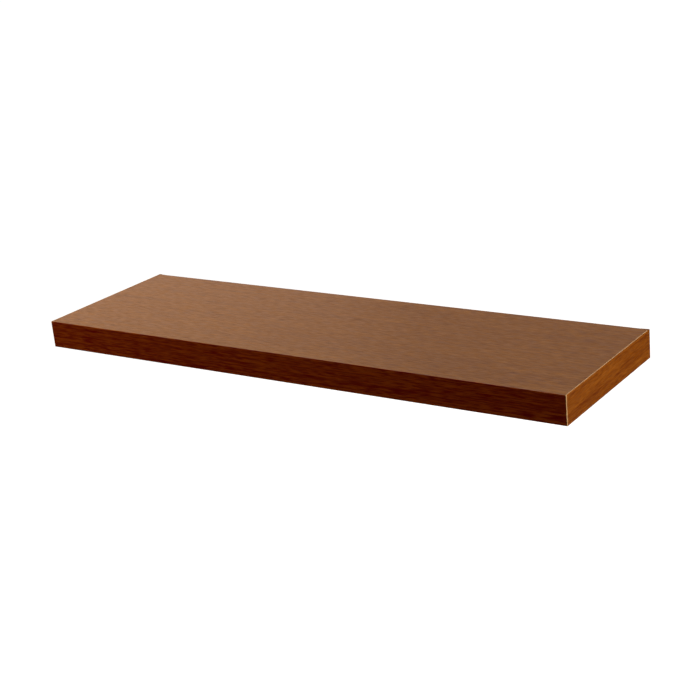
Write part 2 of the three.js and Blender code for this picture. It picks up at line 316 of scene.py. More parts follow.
@dataclass(frozen=True)
class WoodFoil:
    """A printed and embossed wood-grain film: straight fine fibres, soft bands and short dark pores.

    On the front face it takes a darker, redder copy of the print: painted shade that stands for the dimmer
    light on the front.
    """

    name: str = "wood_grain_foil"
    along: Along = Along.LENGTH
    deep: Colour = (0.122, 0.036, 0.0018)
    pale: Colour = (0.281, 0.105, 0.0085)
    # Painted shade: the darker, redder copy of the print that the front face takes.
    front_shade_deep: Colour = (0.127, 0.0015, 0.0001)
    front_shade_pale: Colour = (0.268, 0.042, 0.0009)
    pore: Colour = (0.09, 0.014, 0.001)
    drift: Marks = Marks(0.35, 0.08, detail=1.0)
    bands: Marks = Marks(0.5, 0.014, 0.006)
    fibres: Marks = Marks(0.14, 0.0007, 0.0013, 1.0, shift=(5.0, 2.0, 3.0))
    flecks: Marks = Marks(0.017, 0.0007, 0.001, 1.0, shift=(1.0, 4.0, 6.0))
    shine: Marks = Marks(0.014, 0.0012, detail=1.0, shift=(7.0, 3.0, 8.0))
    pores: Marks = Marks(0.005, 0.0003, detail=1.0, rough=0.4, shift=(9.0, 2.0, 5.0))
    band_sway: float = 1.2
    fibre_sway: float = 8.0
    band_weight: float = 0.15
    fibre_weight: float = 1.25
    fleck_weight: float = 1.7
    contrast: float = 1.9
    pore_band: Pair = (0.36, 0.28)
    pore_share: float = 0.35
    fleck_relief: float = 0.4
    fibre_relief: float = 0.2
    pore_relief: float = 0.8
    relief: float = 0.04 * MM
    roughness: float = 0.38
    fibre_roughness: float = 0.1
    pore_roughness: float = 0.12
    coat_band: Band = (0.36, 0.64, 0.5)
    coat_roughness: float = 0.35
    # Depths behind the front face where the painted front shade starts and where it is full.
    front_shade_start: float = 0.7 * MM
    front_shade_full: float = 0.2 * MM

    def make(self) -> Material:
        """Returns the film's material."""
        recipe = Recipe(self.name)
        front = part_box("decor_foil")[0].y
        # Painted shade: drawn is the share of the front face, where the print turns to its shaded copy.
        drawn = recipe.axis(Along.DEPTH).band(front + self.front_shade_start, front + self.front_shade_full)
        across = Along.DEPTH
        if self.along is Along.DEPTH:
            recipe.follow_strip()
            across = Along.HEIGHT
        drift = recipe.noise(self.drift, self.along) - Marks.MIDDLE
        band = recipe.noise(self.bands, self.along, drift * self.band_sway, across)
        sway = drift * self.fibre_sway
        fibre = recipe.noise(self.fibres, self.along, sway, across)
        fleck = recipe.noise(self.flecks, self.along, sway, across)
        coat = recipe.noise(self.shine, self.along).band(*self.coat_band)
        pore = recipe.noise(self.pores, self.along).band(*self.pore_band)
        weights = ((band, self.band_weight), (fibre, self.fibre_weight), (fleck, self.fleck_weight))
        tone = sum((pattern - Marks.MIDDLE) * weight for pattern, weight in weights)
        share = (tone * self.contrast).band(-Marks.MIDDLE, Marks.MIDDLE)
        # The front face mixes in the painted-shade copy of the print.
        colour = recipe.mix(drawn, recipe.mix(share, self.deep, self.pale),
                            recipe.mix(share, self.front_shade_deep, self.front_shade_pale))
        colour = recipe.mix(pore * self.pore_share, colour, self.pore)
        relief = fleck * self.fleck_relief + fibre * self.fibre_relief - pore * self.pore_relief
        rough = (fibre - Marks.MIDDLE) * self.fibre_roughness + pore * self.pore_roughness + self.roughness
        return recipe.finish({"Base Color": colour, "Roughness": rough, "Coat Weight": coat,
                              "Coat Roughness": self.coat_roughness}, relief, self.relief)


@dataclass(frozen=True)
class EdgingFilm(WoodFoil):
    """The edging's film: the same print in calmer marks that run across the end and round its corner."""

    name: str = "edging_film"
    along: Along = Along.DEPTH
    deep: Colour = (0.138, 0.0205, 0.0013)
    pale: Colour = (0.312, 0.0865, 0.006)
    # The edging has no painted front shade: its shaded copy is its own colours.
    front_shade_deep: Colour = deep
    front_shade_pale: Colour = pale
    pore: Colour = (0.11, 0.032, 0.002)
    fibres: Marks = Marks(0.3, 0.0007, 0.0009, 1.0, shift=(5.0, 2.0, 3.0))
    flecks: Marks = Marks(0.011, 0.0007, 0.0007, 1.0, shift=(1.0, 4.0, 6.0))
    fleck_weight: float = 1.4
    contrast: float = 1.7


@dataclass(frozen=True)
class BandCore:
    """The pale core of the edging: scraped edges, a painted lighter and cooler tint on its top and bottom
    rims that stands for the light from above, and a darker stretch towards the rear end.
    """

    name: str = "edging_core"
    base: Colour = (0.8, 0.47, 0.2)
    scraped: Colour = (0.55, 0.29, 0.11)
    # Painted light: the rims' lighter, cooler tint, standing for the light from above on the top edge.
    rim_light: Colour = (0.78, 0.54, 0.28)
    # The colour that the core turns to towards its rear end.
    rear_dark: Colour = (0.06, 0.02, 0.004)
    scrapes: Marks = Marks(0.0006, 0.004, detail=3.0, rough=0.6)
    scrape_start: float = 0.35
    scrape_share: float = 0.5
    rear_dark_start: float = 9.0 * MM
    rear_dark_full: float = 5.0 * MM
    rim_light_start: float = 0.4 * MM
    rim_light_full: float = 0.1 * MM
    roughness: float = 0.5
    relief: float = 0.03 * MM

    def make(self) -> Material:
        """Returns the core's material."""
        recipe = Recipe(self.name)
        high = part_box("edge_band_right")[1]
        scrape = recipe.noise(self.scrapes, Along.DEPTH)
        # Darker towards the rear end, over the core's last few millimetres.
        rear_darkening = recipe.axis(Along.DEPTH).band(high.y - self.rear_dark_start, high.y - self.rear_dark_full)
        level = recipe.axis(Along.HEIGHT)
        # Painted light: rim is the share near the top and bottom edges that takes the lighter, cooler tint.
        rim = (level * level).band((high.z - self.rim_light_start) ** 2, (high.z - self.rim_light_full) ** 2)
        colour = recipe.mix((scrape - self.scrape_start) * self.scrape_share,
                            recipe.mix(rim, self.base, self.rim_light), self.scraped)
        colour = recipe.mix(rear_darkening, colour, self.rear_dark)
        return recipe.finish({"Base Color": colour, "Roughness": self.roughness}, scrape, self.relief)


@dataclass(frozen=True)
class Fibreboard:
    """Raw fibreboard: fine pressed fibres in layers, with darker flecks."""

    name: str = "raw_fibreboard"
    base: Colour = (0.38, 0.215, 0.095)
    layer: Colour = (0.47, 0.28, 0.135)
    fleck: Colour = (0.19, 0.09, 0.035)
    layers: Marks = Marks(0.006, 0.006, 0.0004, 3.0, 0.6)
    fibres: Marks = Marks(0.0014, 0.0014, 0.0005, 4.0, 0.7)
    flecks: Marks = Marks(0.0022, 0.0022, 0.0008)
    layer_band: Band = (0.35, 0.65, 0.5)
    fleck_band: Band = (0.28, 0.12, 0.55)
    roughness: float = 0.88
    relief: float = 0.18 * MM

    def make(self) -> Material:
        """Returns the board's material."""
        recipe = Recipe(self.name)
        colour = recipe.mix(recipe.noise(self.layers).band(*self.layer_band), self.base, self.layer)
        cells = recipe.node("ShaderNodeTexVoronoi", feeds={
            "Vector": recipe.stretched(self.flecks, Along.LENGTH), "Scale": 1.0})
        flecks = Signal(recipe, cells.outputs["Distance"]).band(*self.fleck_band)
        colour = recipe.mix(flecks, colour, self.fleck)
        return recipe.finish({"Base Color": colour, "Roughness": self.roughness},
                             recipe.noise(self.fibres), self.relief)


@dataclass(frozen=True)
class SolidTimber:
    """Planed timber: growth rings cut lengthwise, and fine fibres."""

    name: str
    along: Along
    early: Colour = (0.62, 0.39, 0.17)
    late: Colour = (0.4, 0.2, 0.065)
    ring: float = 4.2 * MM
    ring_lean: float = 0.45
    ring_drift: float = 4.0
    ring_sharpness: float = 3.0
    ring_share: float = 0.75
    ring_relief: float = 0.3
    drift: Marks = Marks(0.25, 0.03)
    fibres: Marks = Marks(0.03, 0.0004, detail=3.0, rough=0.6)
    fibre_band: Band = (0.6, 0.4, 0.35)
    roughness: float = 0.75
    relief: float = 0.12 * MM

    def make(self) -> Material:
        """Returns the timber's material."""
        recipe = Recipe(self.name)
        side = Along.LENGTH if self.along is Along.DEPTH else Along.DEPTH
        across = recipe.axis(Along.HEIGHT) + recipe.axis(side) * self.ring_lean
        turns = across * (1 / self.ring) + recipe.noise(self.drift, self.along) * self.ring_drift
        rings = (turns * FULL_TURN).wave() * 0.5 + 0.5
        fibre = recipe.noise(self.fibres, self.along)
        colour = recipe.mix((rings ** self.ring_sharpness) * self.ring_share, self.early, self.late)
        colour = recipe.mix(fibre.band(*self.fibre_band), colour, self.late)
        return recipe.finish({"Base Color": colour, "Roughness": self.roughness},
                             fibre + rings * self.ring_relief, self.relief)


@dataclass(frozen=True)
class CloudedFinish:
    """A surface with clouds of a second colour, and with the clouds or finer marks as its relief."""

    name: str
    base: Colour
    second: Colour
    clouds: Marks
    cloud_band: Band
    roughness: float
    relief: float
    texture: Marks | None = None
    along: Along = Along.LENGTH
    cloud_roughness: float = 0.0
    texture_roughness: float = 0.0
    metallic: float = 0.0

    def make(self) -> Material:
        """Returns the finish's material."""
        recipe = Recipe(self.name)
        cloud = recipe.noise(self.clouds)
        texture = recipe.noise(self.texture, self.along) if self.texture else cloud
        rough = self.roughness
        for pattern, change in ((cloud, self.cloud_roughness), (texture, self.texture_roughness)):
            if change:
                rough = pattern * change + rough
        colour = recipe.mix(cloud.band(*self.cloud_band), self.base, self.second)
        return recipe.finish({"Base Color": colour, "Roughness": rough, "Metallic": self.metallic},
                             texture, self.relief)


@dataclass(frozen=True)
class KraftPaper(CloudedFinish):
    """Brown kraft paper: slightly clouded pulp."""

    name: str = "brown_kraft_paper"
    base: Colour = (0.42, 0.25, 0.11)
    second: Colour = (0.28, 0.15, 0.06)
    clouds: Marks = Marks(0.004, 0.004, 0.002, 4.0, 0.65)
    cloud_band: Band = (0.35, 0.7, 0.5)
    roughness: float = 0.95
    relief: float = 0.1 * MM


@dataclass(frozen=True)
class ZincPlate(CloudedFinish):
    """Bright zinc plating over drawn steel: draw lines, faint clouding and a blue-grey cast."""

    name: str = "zinc_plate"
    base: Colour = (0.56, 0.6, 0.66)
    second: Colour = (0.44, 0.49, 0.56)
    clouds: Marks = Marks(0.02, 0.02, detail=3.0, rough=0.55)
    cloud_band: Band = (0.4, 0.7, 0.7)
    texture: Marks = Marks(0.05, 0.00035, rough=0.6)
    roughness: float = 0.2
    cloud_roughness: float = 0.2
    texture_roughness: float = 0.16
    relief: float = 0.02 * MM
    metallic: float = 0.72


@dataclass(frozen=True)
class WeldSteel(CloudedFinish):
    """A weld bead and its heat tint under the plating."""

    name: str = "weld_bead"
    base: Colour = (0.42, 0.4, 0.37)
    second: Colour = (0.2, 0.15, 0.13)
    clouds: Marks = Marks(0.0025, 0.0025, detail=3.0, rough=0.6)
    cloud_band: Band = (0.4, 0.65, 1.0)
    roughness: float = 0.28
    cloud_roughness: float = 0.3
    relief: float = 0.1 * MM
    metallic: float = 1.0


@dataclass(frozen=True)
class MouldedPlastic(CloudedFinish):
    """Black moulded plastic with a fine spark-eroded texture."""

    name: str = "black_moulded_plastic"
    base: Colour = (0.014, 0.014, 0.015)
    second: Colour = (0.024, 0.024, 0.026)
    clouds: Marks = Marks(0.004, 0.004)
    cloud_band: Band = (0.4, 0.7, 0.5)
    texture: Marks = Marks(0.0003, 0.0003, rough=0.6)
    roughness: float = 0.4
    cloud_roughness: float = 0.16
    relief: float = 0.02 * MM


@dataclass(frozen=True)
class TurnedBrass(CloudedFinish):
    """Turned brass with fine tool lines and a slight tarnish."""

    name: str = "turned_brass"
    base: Colour = (0.62, 0.42, 0.14)
    second: Colour = (0.3, 0.17, 0.05)
    clouds: Marks = Marks(0.002, 0.002, detail=3.0, rough=0.6)
    cloud_band: Band = (0.45, 0.7, 0.6)
    texture: Marks = Marks(0.002, 0.002, 0.0001, 1.0)
    roughness: float = 0.2
    texture_roughness: float = 0.2
    relief: float = 0.01 * MM
    metallic: float = 1.0


@dataclass(frozen=True)
class BlackOxide(CloudedFinish):
    """Blackened steel, oily and slightly worn."""

    name: str = "black_oxide_steel"
    base: Colour = (0.03, 0.03, 0.033)
    second: Colour = (0.2, 0.19, 0.18)
    clouds: Marks = Marks(0.0012, 0.0012, detail=4.0, rough=0.7)
    cloud_band: Band = (0.58, 0.75, 1.0)
    roughness: float = 0.25
    cloud_roughness: float = 0.3
    relief: float = 0.01 * MM
    metallic: float = 1.0


# Bench


class Workpiece:
    """A mesh on the bench, shaped with edit-mode operators and then finished with modifiers."""

    def __init__(self, name: str) -> None:
        """Takes up the primitive or the copy that was just made.

        Args:
            name: The piece's name.
        """
        self.obj = bpy.context.active_object
        self.obj.name = name
        self.obj.data.name = name

    @classmethod
    def add(cls, name: str, operator: Callable[..., Any], **settings: Any) -> Workpiece:
        """Starts from a primitive, with its place kept in its mesh.

        Args:
            name: The piece's name.
            operator: The operator that adds the primitive.
            settings: The operator's settings.

        Returns:
            The piece.
        """
        bpy.ops.object.select_all(action="DESELECT")
        operator(**settings)
        bpy.ops.object.transform_apply()
        return cls(name)

    @classmethod
    def filling(cls, name: str, operator: Callable[..., Any], low: Vector, high: Vector) -> Workpiece:
        """Starts from a plane or a cube that fills a box.

        Args:
            name: The piece's name.
            operator: The operator that adds the primitive.
            low: The box's lowest corner.
            high: The box's highest corner, as high as the lowest for a plane.

        Returns:
            The piece.
        """
        piece = cls.add(name, operator, size=1.0)
        piece.obj.scale = [side or 1.0 for side in high - low]
        piece.obj.location = (low + high) / 2
        bpy.ops.object.transform_apply()
        return piece

    @classmethod
    def turned(cls, name: str, profile: Sequence[Pair], sides: int = ROUND_SIDES,
               closed: bool = False) -> Workpiece:
        """Turns a profile: a ring is added, then extruded and resized to each next radius and height.

        Args:
            name: The piece's name.
            profile: Radius and height pairs in metres, none on the axis.
            sides: How many sides the turned piece has.
            closed: Whether the last ring meets the first, as on a bush.

        Returns:
            The turned piece, on the Z axis.
        """
        radius, height = profile[0]
        piece = cls.add(name, bpy.ops.mesh.primitive_circle_add, vertices=sides, radius=radius,
                        fill_type="NOTHING" if closed else "NGON", location=(0, 0, height))
        with piece.editing():
            for next_radius, next_height in profile[1:]:
                piece.draw_out(0, 0, next_height - height)
                ratio = next_radius / radius
                bpy.ops.transform.resize(value=(ratio, ratio, 1), center_override=(0, 0, next_height))
                radius, height = next_radius, next_height
            if not closed:
                bpy.ops.mesh.edge_face_add()
            bpy.ops.mesh.select_all(action="SELECT")
            bpy.ops.mesh.remove_doubles(threshold=SAME_PLACE)
            piece.face_outwards()
        return piece

    def select(self) -> None:
        """Selects this piece alone, so that an operator acts on nothing else."""
        bpy.ops.object.select_all(action="DESELECT")
        self.obj.select_set(True)
        bpy.context.view_layer.objects.active = self.obj

    @contextmanager
    def editing(self) -> Iterator[None]:
        """Opens the piece in edit mode for a with statement, with all of it selected."""
        self.select()
        bpy.ops.object.mode_set(mode="EDIT")
        bpy.ops.mesh.select_all(action="SELECT")
        yield
        bpy.ops.object.mode_set(mode="OBJECT")

    def pick(self, grip: Grip, test: Test) -> None:
        """Selects what passes a test, in edit mode.

        Args:
            grip: Corners, edges or faces.
            test: Says yes or no to an item's middle and to its direction or normal.
        """
        items, mode = grip.value
        bpy.ops.mesh.select_mode(type=mode)
        bpy.ops.mesh.select_all(action="DESELECT")
        shape = bmesh.from_edit_mesh(self.obj.data)
        for item in getattr(shape, items):
            corners = [corner.co for corner in ([item] if grip is Grip.CORNERS else item.verts)]
            way = (corners[1] - corners[0]).normalized() if grip is Grip.EDGES else item.normal
            if test(sum(corners, Vector()) / len(corners), way):
                item.select_set(True)
        bmesh.update_edit_mesh(self.obj.data)

    @staticmethod
    def draw_out(*step: float) -> None:
        """Extrudes the picked edges by a step on X, Y and Z."""
        bpy.ops.mesh.extrude_edges_move(TRANSFORM_OT_translate={"value": step})

    def round_off(self, size: float, steps: int, test: Test) -> None:
        """Bevels the edges whose middle and direction pass a test."""
        self.pick(Grip.EDGES, test)
        bpy.ops.mesh.bevel(affect="EDGES", offset=size, segments=steps)

    @staticmethod
    def face_outwards() -> None:
        """Points all faces outwards, in edit mode."""
        bpy.ops.mesh.select_all(action="SELECT")
        bpy.ops.mesh.normals_make_consistent(inside=False)

    def modify(self, kind: str, **settings: Any) -> None:
        """Adds a modifier and applies it.

        Args:
            kind: The modifier's type.
            settings: The modifier's settings.
        """
        self.select()
        modifier = self.obj.modifiers.new(kind.lower(), kind)
        for key, value in settings.items():
            setattr(modifier, key, value)
        bpy.ops.object.modifier_apply(modifier=modifier.name)

    def join(self, how: Join, other: Workpiece) -> None:
        """Cuts out another piece, adds it on or keeps only what lies inside it, and uses it up."""
        self.modify("BOOLEAN", operation=how.value, solver="EXACT", object=other.obj)
        bpy.data.objects.remove(other.obj)

    def lay(self, turn: Point = ORIGIN, move: Sequence[float] = ORIGIN) -> Workpiece:
        """Turns and moves the piece, and keeps that in its mesh.

        Args:
            turn: Turns about X, Y and Z in radians.
            move: How far it moves.

        Returns:
            This piece.
        """
        self.obj.data.transform(Matrix.Translation(move) @ Euler(turn).to_matrix().to_4x4())
        self.obj.data.update()
        return self

    def copy(self, name: str) -> Workpiece:
        """Copies the piece with a mesh of its own.

        Args:
            name: The copy's name.

        Returns:
            The copy.
        """
        self.select()
        bpy.ops.object.duplicate(linked=False)
        return Workpiece(name)

    def use_second_finish(self, test: Test) -> None:
        """Puts the piece's second material on the faces whose middle and normal pass a test."""
        for face in self.obj.data.polygons:
            face.material_index = int(test(face.center, face.normal))

    def hand_over(self, body: str, slot: str, materials: Sequence[Material],
                  stands_for: str) -> None:
        """Smooths and dresses the piece and lets it ride on its body.

        Args:
            body: The body that carries it.
            slot: The record's material slot. It is not used.
            materials: Its materials, in the order of its faces' slots.
            stands_for: The node that it replaces.
        """
        with self.editing():
            bpy.ops.mesh.remove_doubles(threshold=SLIVER)
            bpy.ops.mesh.dissolve_degenerate(threshold=SLIVER)
        bpy.ops.object.shade_smooth_by_angle(angle=SMOOTH_UNDER)
        self.modify("WEIGHTED_NORMAL", keep_sharp=True)
        for material in materials:
            self.obj.data.materials.append(material)
        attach(self.obj, body)
        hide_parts(stands_for)
        log.info("%s: %d faces, on %s", self.obj.name, len(self.obj.data.polygons), body)

    def spread(self, name: str, node: str, places: Sequence[str], body: str, slot: str,
               materials: Sequence[Material]) -> None:
        """Hands over the piece and its copies, each at its own node's X. The piece is made at X = 0.

        Args:
            name: The pieces' name. A place's name follows it.
            node: The nodes' name. A place's name follows it.
            places: The places, one of which is the piece's own.
            body: The body that carries them, with {} for a place in its name.
            slot: The record's material slot.
            materials: Their materials, in the order of their faces' slots.
        """
        names = {place: f"{name}_{place}" for place in places}
        pieces = {place: self if self.obj.name == names[place] else self.copy(names[place])
                  for place in places}
        for place, piece in pieces.items():
            piece.lay(move=(middle_of(f"{node}_{place}").x, 0, 0))
            piece.hand_over(body.format(place), slot, materials, f"{node}_{place}")


def dress(material: Material, *nodes: str) -> None:
    """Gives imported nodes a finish.

    Args:
        material: The finish.
        nodes: The nodes' names.
    """
    for node in nodes:
        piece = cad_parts[node]
        piece.data.materials.clear()
        piece.data.materials.append(material)
        log.info("%s: dressed in %s", node, material.name)


# The board


@dataclass
class WrappedBoard:
    """The foil that is folded over the board, and the edging that closes its ends."""

    fold_radius: float = 0.7 * MM
    fold_steps: int = 8
    foil_thickness: float = 0.4 * MM
    key_hole_radius: float = 4.5 * MM
    key_hole_sides: int = 48
    key_hole_reach: float = 1.6 * MM
    rim_ease: float = 0.12 * MM
    rim_angle: float = math.radians(50)
    edging_thickness: float = 1.0 * MM
    corner_radius: float = 1.2 * MM
    tail_rise: float = 2.1 * MM
    tail_tip: float = 0.7 * MM
    front_radius: float = 0.9 * MM
    corner_steps: int = 8
    edging_round: float = 0.65 * MM
    edging_round_steps: int = 5
    bare_upright: float = 0.97
    bare_front: float = 0.15
    bare_inside: float = 0.3

    def build(self) -> None:
        """Builds and dresses the foil and both edging strips."""
        self.foil()
        self.edging()

    def foil(self) -> None:
        """Models the foil: a top sheet drawn down the front and back under, its folds rounded."""
        low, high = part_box("decor_foil")
        piece = Workpiece.filling("foil_wrap", bpy.ops.mesh.primitive_plane_add,
                                  Vector((low.x, low.y, high.z)), high)
        with piece.editing():
            piece.pick(Grip.EDGES, lambda at, way: at.y < low.y + MM)
            piece.draw_out(0, 0, low.z - high.z)
            piece.draw_out(0, high.y - low.y, 0)
            piece.round_off(self.fold_radius, self.fold_steps,
                            lambda at, way: at.y < low.y + MM and abs(way.x) > ALIGNED)
            piece.face_outwards()
        piece.modify("SOLIDIFY", thickness=self.foil_thickness, offset=-1.0, use_even_offset=True)
        hole = [(self.key_hole_radius, low.z + end * self.key_hole_reach) for end in (-1, 1)]
        for side in SIDES:
            at = middle_of(f"lock_screw_{side}")
            cutter = Workpiece.turned("key_hole_cutter", hole, self.key_hole_sides)
            piece.join(Join.CUT_OUT, cutter.lay(move=(at.x, at.y, 0)))
        piece.modify("BEVEL", width=self.rim_ease, segments=EASE_STEPS, limit_method="ANGLE",
                     angle_limit=self.rim_angle)
        piece.hand_over("shelf_board", "wood_foil", [WoodFoil().make()], "decor_foil")

    def edging(self) -> None:
        """Models the right strip with its tail drawn out behind the corner, and turns a copy to the left."""
        low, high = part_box("edge_band_right")
        inner = high.x - self.edging_thickness
        fold = high.y - self.tail_rise
        piece = Workpiece.filling("edging_right", bpy.ops.mesh.primitive_cube_add,
                                  Vector((inner, low.y, low.z)), high)
        with piece.editing():
            bpy.ops.mesh.bisect(plane_co=(0, fold, 0), plane_no=(0, 1, 0))
            piece.pick(Grip.FACES, lambda at, way: way.x < -ALIGNED and at.y > fold)
            bpy.ops.mesh.extrude_region_move(TRANSFORM_OT_translate={"value": (low.x - inner, 0, 0)})
            piece.pick(Grip.EDGES, lambda at, way: (abs(at.x - inner) < NEAR and at.y > fold + NEAR)
                       or (abs(at.y - fold) < NEAR and at.x > inner + NEAR))
            bpy.ops.mesh.dissolve_edges(use_verts=True)
            piece.pick(Grip.CORNERS, lambda at, way: at.x < low.x + NEAR and at.y > high.y - NEAR)
            bpy.ops.transform.translate(value=(0, self.tail_tip - self.tail_rise, 0))
            for y, radius in ((high.y, self.corner_radius), (low.y, self.front_radius)):
                piece.round_off(radius, self.corner_steps, lambda at, way: abs(way.z) > ALIGNED
                                and at.x > high.x - NEAR and abs(at.y - y) < NEAR)
            piece.round_off(self.edging_round, self.edging_round_steps, lambda at, way:
                            abs(at.z) > high.z - NEAR and abs(way.z) < SQUARE
                            and (at.x > inner + NEAR or (at.y > fold + NEAR and at.x > low.x + NEAR)))
        piece.use_second_finish(lambda at, way: abs(way.z) > self.bare_upright or way.y < -self.bare_front
                                or way.x < -self.bare_inside)
        materials = [EdgingFilm().make(), BandCore().make()]
        left = piece.copy("edging_left").lay(turn=(0, HALF_TURN, 0))
        piece.hand_over("shelf_board", "band_foil", materials, "edge_band_right")
        left.hand_over("shelf_board", "band_foil", materials, "edge_band_left")


def dress_inside() -> None:
    """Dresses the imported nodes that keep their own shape."""
    dress(Fibreboard().make(), "top_skin", "bottom_skin", "front_skin")
    dress(SolidTimber("softwood_lengthwise", Along.LENGTH).make(), "front_rail", "rear_rail")
    dress(SolidTimber("softwood_depthwise", Along.DEPTH).make(), "end_rail_left", "end_rail_right")
    blocks = SolidTimber("planed_blocks", Along.DEPTH, (0.6, 0.4, 0.2), (0.45, 0.26, 0.11), 2.8 * MM)
    dress(blocks.make(), *(f"guide_block_{place}" for place in PLACES))
    dress(KraftPaper().make(), "honeycomb_core")


# The bracket


@dataclass
class WallBracket:
    """The rail that is screwed to the wall, with the three rods that are welded to it."""

    rail_corner: float = 4.0 * MM
    rail_corner_steps: int = 8
    rail_ease: float = 0.2 * MM
    hole_radius: float = 2.75 * MM
    head_radius: float = 5.25 * MM
    hole_offset: float = 65.0 * MM
    spigot_radius: float = 4.0 * MM
    spigot_hole: float = 4.15 * MM
    rod_radius: float = 6.0 * MM
    tip_chamfer: float = 2.0 * MM
    tip_ease: float = 0.2 * MM
    bead_radius: float = 6.6 * MM
    bead_size: float = 1.15 * MM
    bead_rise: float = 0.65 * MM
    bead_reach: float = 2.5 * MM
    bead_ripples: int = 26
    bead_ripple_steps: int = 3
    bead_section_sides: int = 14
    bead_ripple_depth: float = 0.82

    def build(self) -> None:
        """Builds and dresses the rail and the rods."""
        self.rail()
        self.rods()

    def rail(self) -> None:
        """Models the rail: a strip with round corners, countersunk holes and a hole for each spigot.

        It is divided through each hole first, so that no face has to go round a whole hole.
        """
        low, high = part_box("wall_rail")
        thick = high.y - low.y
        overrun = thick / 3
        slope = self.head_radius - self.hole_radius
        countersink = [(self.hole_radius, -overrun), (self.hole_radius, thick - slope),
                       (self.head_radius, thick), (self.head_radius, thick + overrun)]
        spigot = [(self.spigot_hole, -overrun), (self.spigot_hole, thick + overrun)]
        holes = [(middle_of(f"rod_{place}").x + shift, spigot if shift == 0 else countersink)
                 for place in PLACES for shift in (-self.hole_offset, self.hole_offset, 0)]
        piece = Workpiece.filling("rail_plate", bpy.ops.mesh.primitive_cube_add, low, high)
        with piece.editing():
            piece.round_off(self.rail_corner, self.rail_corner_steps, lambda at, way: abs(way.y) > ALIGNED)
            piece.round_off(self.rail_ease, EASE_STEPS, lambda at, way: abs(way.y) < SQUARE)
            for x, _ in holes:
                bpy.ops.mesh.select_all(action="SELECT")
                bpy.ops.mesh.bisect(plane_co=(x + self.hole_radius / 4, 0, 0), plane_no=(1, 0, 0))
        for x, profile in holes:
            cutter = Workpiece.turned("rail_hole_cutter", profile)
            piece.join(Join.CUT_OUT, cutter.lay(turn=(QUARTER_TURN, 0, 0), move=(x, 0, 0)))
        piece.hand_over("wall_bracket", "zinc_steel", [ZincPlate("zinc_plate_rail").make()], "wall_rail")

    def rods(self) -> None:
        """Models one rod with its spigot, eased tip and rippled weld bead, and copies it to each place."""
        low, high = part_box("rod_centre")
        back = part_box("wall_rail")[0].y
        foot, tip = high.y - back, high.y - low.y
        ease, chamfer = self.tip_ease, self.tip_chamfer
        profile = [(self.spigot_radius - ease, 0.0), (self.spigot_radius, ease),
                   (self.spigot_radius, foot + ease), (self.rod_radius, foot + ease),
                   (self.rod_radius, tip - chamfer - ease),
                   (self.rod_radius - ease / 2, tip - chamfer + ease / 2),
                   (self.rod_radius - chamfer + ease / 2, tip - ease / 2),
                   (self.rod_radius - chamfer - ease, tip)]
        rod = Workpiece.turned("rod_welded_centre", profile)
        rod.join(Join.ADD_ON, self.bead(foot))
        rod.lay(turn=(QUARTER_TURN, 0, 0))
        rod.use_second_finish(lambda at, way: at.y > -foot - self.bead_reach
                              and math.hypot(at.x, at.z) > self.rod_radius + NEAR)
        materials = [ZincPlate("zinc_plate_rod", along=Along.DEPTH).make(), WeldSteel().make()]
        rod.spread("rod_welded", "rod", PLACES, "wall_bracket", "zinc_steel", materials)

    def bead(self, foot: float) -> Workpiece:
        """Models the weld bead: a ring whose section shrinks at each ripple.

        Args:
            foot: The height of the rail's face.

        Returns:
            The bead, round the Z axis.
        """
        level = foot + self.bead_rise
        bead = Workpiece.add("weld_bead", bpy.ops.mesh.primitive_torus_add, location=(0, 0, level),
                             major_segments=self.bead_ripples * self.bead_ripple_steps,
                             minor_segments=self.bead_section_sides,
                             major_radius=self.bead_radius, minor_radius=self.bead_size)
        with bead.editing():
            for ripple in range(self.bead_ripples):
                angle = FULL_TURN * ripple / self.bead_ripples
                out = Vector((math.cos(angle), math.sin(angle), 0))
                bead.pick(Grip.CORNERS, lambda at, way: abs(out.cross(at).z) < NEAR and out.dot(at) > 0)
                bpy.ops.transform.resize(value=(self.bead_ripple_depth,) * 3,
                                         center_override=out * self.bead_radius + Vector((0, 0, level)))
        return bead


# What guides and locks the board


@dataclass
class RodBushes:
    """The flanged bushes that line the rear rail's bores.

    The mouth's curve is given in shares of its size: out from the bore, and in from the face.
    """

    bore: float = 6.2 * MM
    wall: float = 2.0 * MM
    flange: float = 3.0 * MM
    flange_thickness: float = 1.5 * MM
    seat_gap: float = 0.1 * MM
    mouth: float = 0.8 * MM
    mouth_curve: tuple[Pair, ...] = ((0.0, 1.3), (0.12, 0.6), (0.45, 0.18), (1.0, 0.0))
    ease: float = 0.35 * MM
    ease_middle: float = 0.105 * MM
    notches: int = 4
    notch_radius: float = 1.3 * MM
    notch_sides: int = 24

    def build(self) -> None:
        """Turns one bush with an eased mouth, notches its flange and copies it to each place."""
        low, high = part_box("rod_bush_centre")
        face, end = -high.y, -low.y
        seat = face + self.flange_thickness - self.seat_gap
        barrel, rim = self.bore + self.wall, self.bore + self.wall + self.flange
        mouth = [(self.bore + self.mouth * out, face + self.mouth * down) for out, down in self.mouth_curve]
        profile = [mouth[-1], (rim - self.ease, face), (rim - self.ease_middle, face + self.ease_middle),
                   (rim, face + self.ease), (rim, seat), (barrel, seat), (barrel, end), (self.bore, end),
                   *mouth]
        bush = Workpiece.turned("bush_moulded_centre", profile, closed=True)
        depth = [(self.notch_radius, face - OVERRUN),
                 (self.notch_radius, face + self.flange_thickness + OVERRUN)]
        for notch in range(self.notches):
            angle = FULL_TURN * (notch + 0.5) / self.notches
            cutter = Workpiece.turned("flange_notch_cutter", depth, self.notch_sides)
            bush.join(Join.CUT_OUT, cutter.lay(move=(rim * math.cos(angle), rim * math.sin(angle), 0)))
        bush.lay(turn=(QUARTER_TURN, 0, 0))
        bush.spread("bush_moulded", "rod_bush", PLACES, "shelf_board", "black_plastic",
                    [MouldedPlastic().make()])


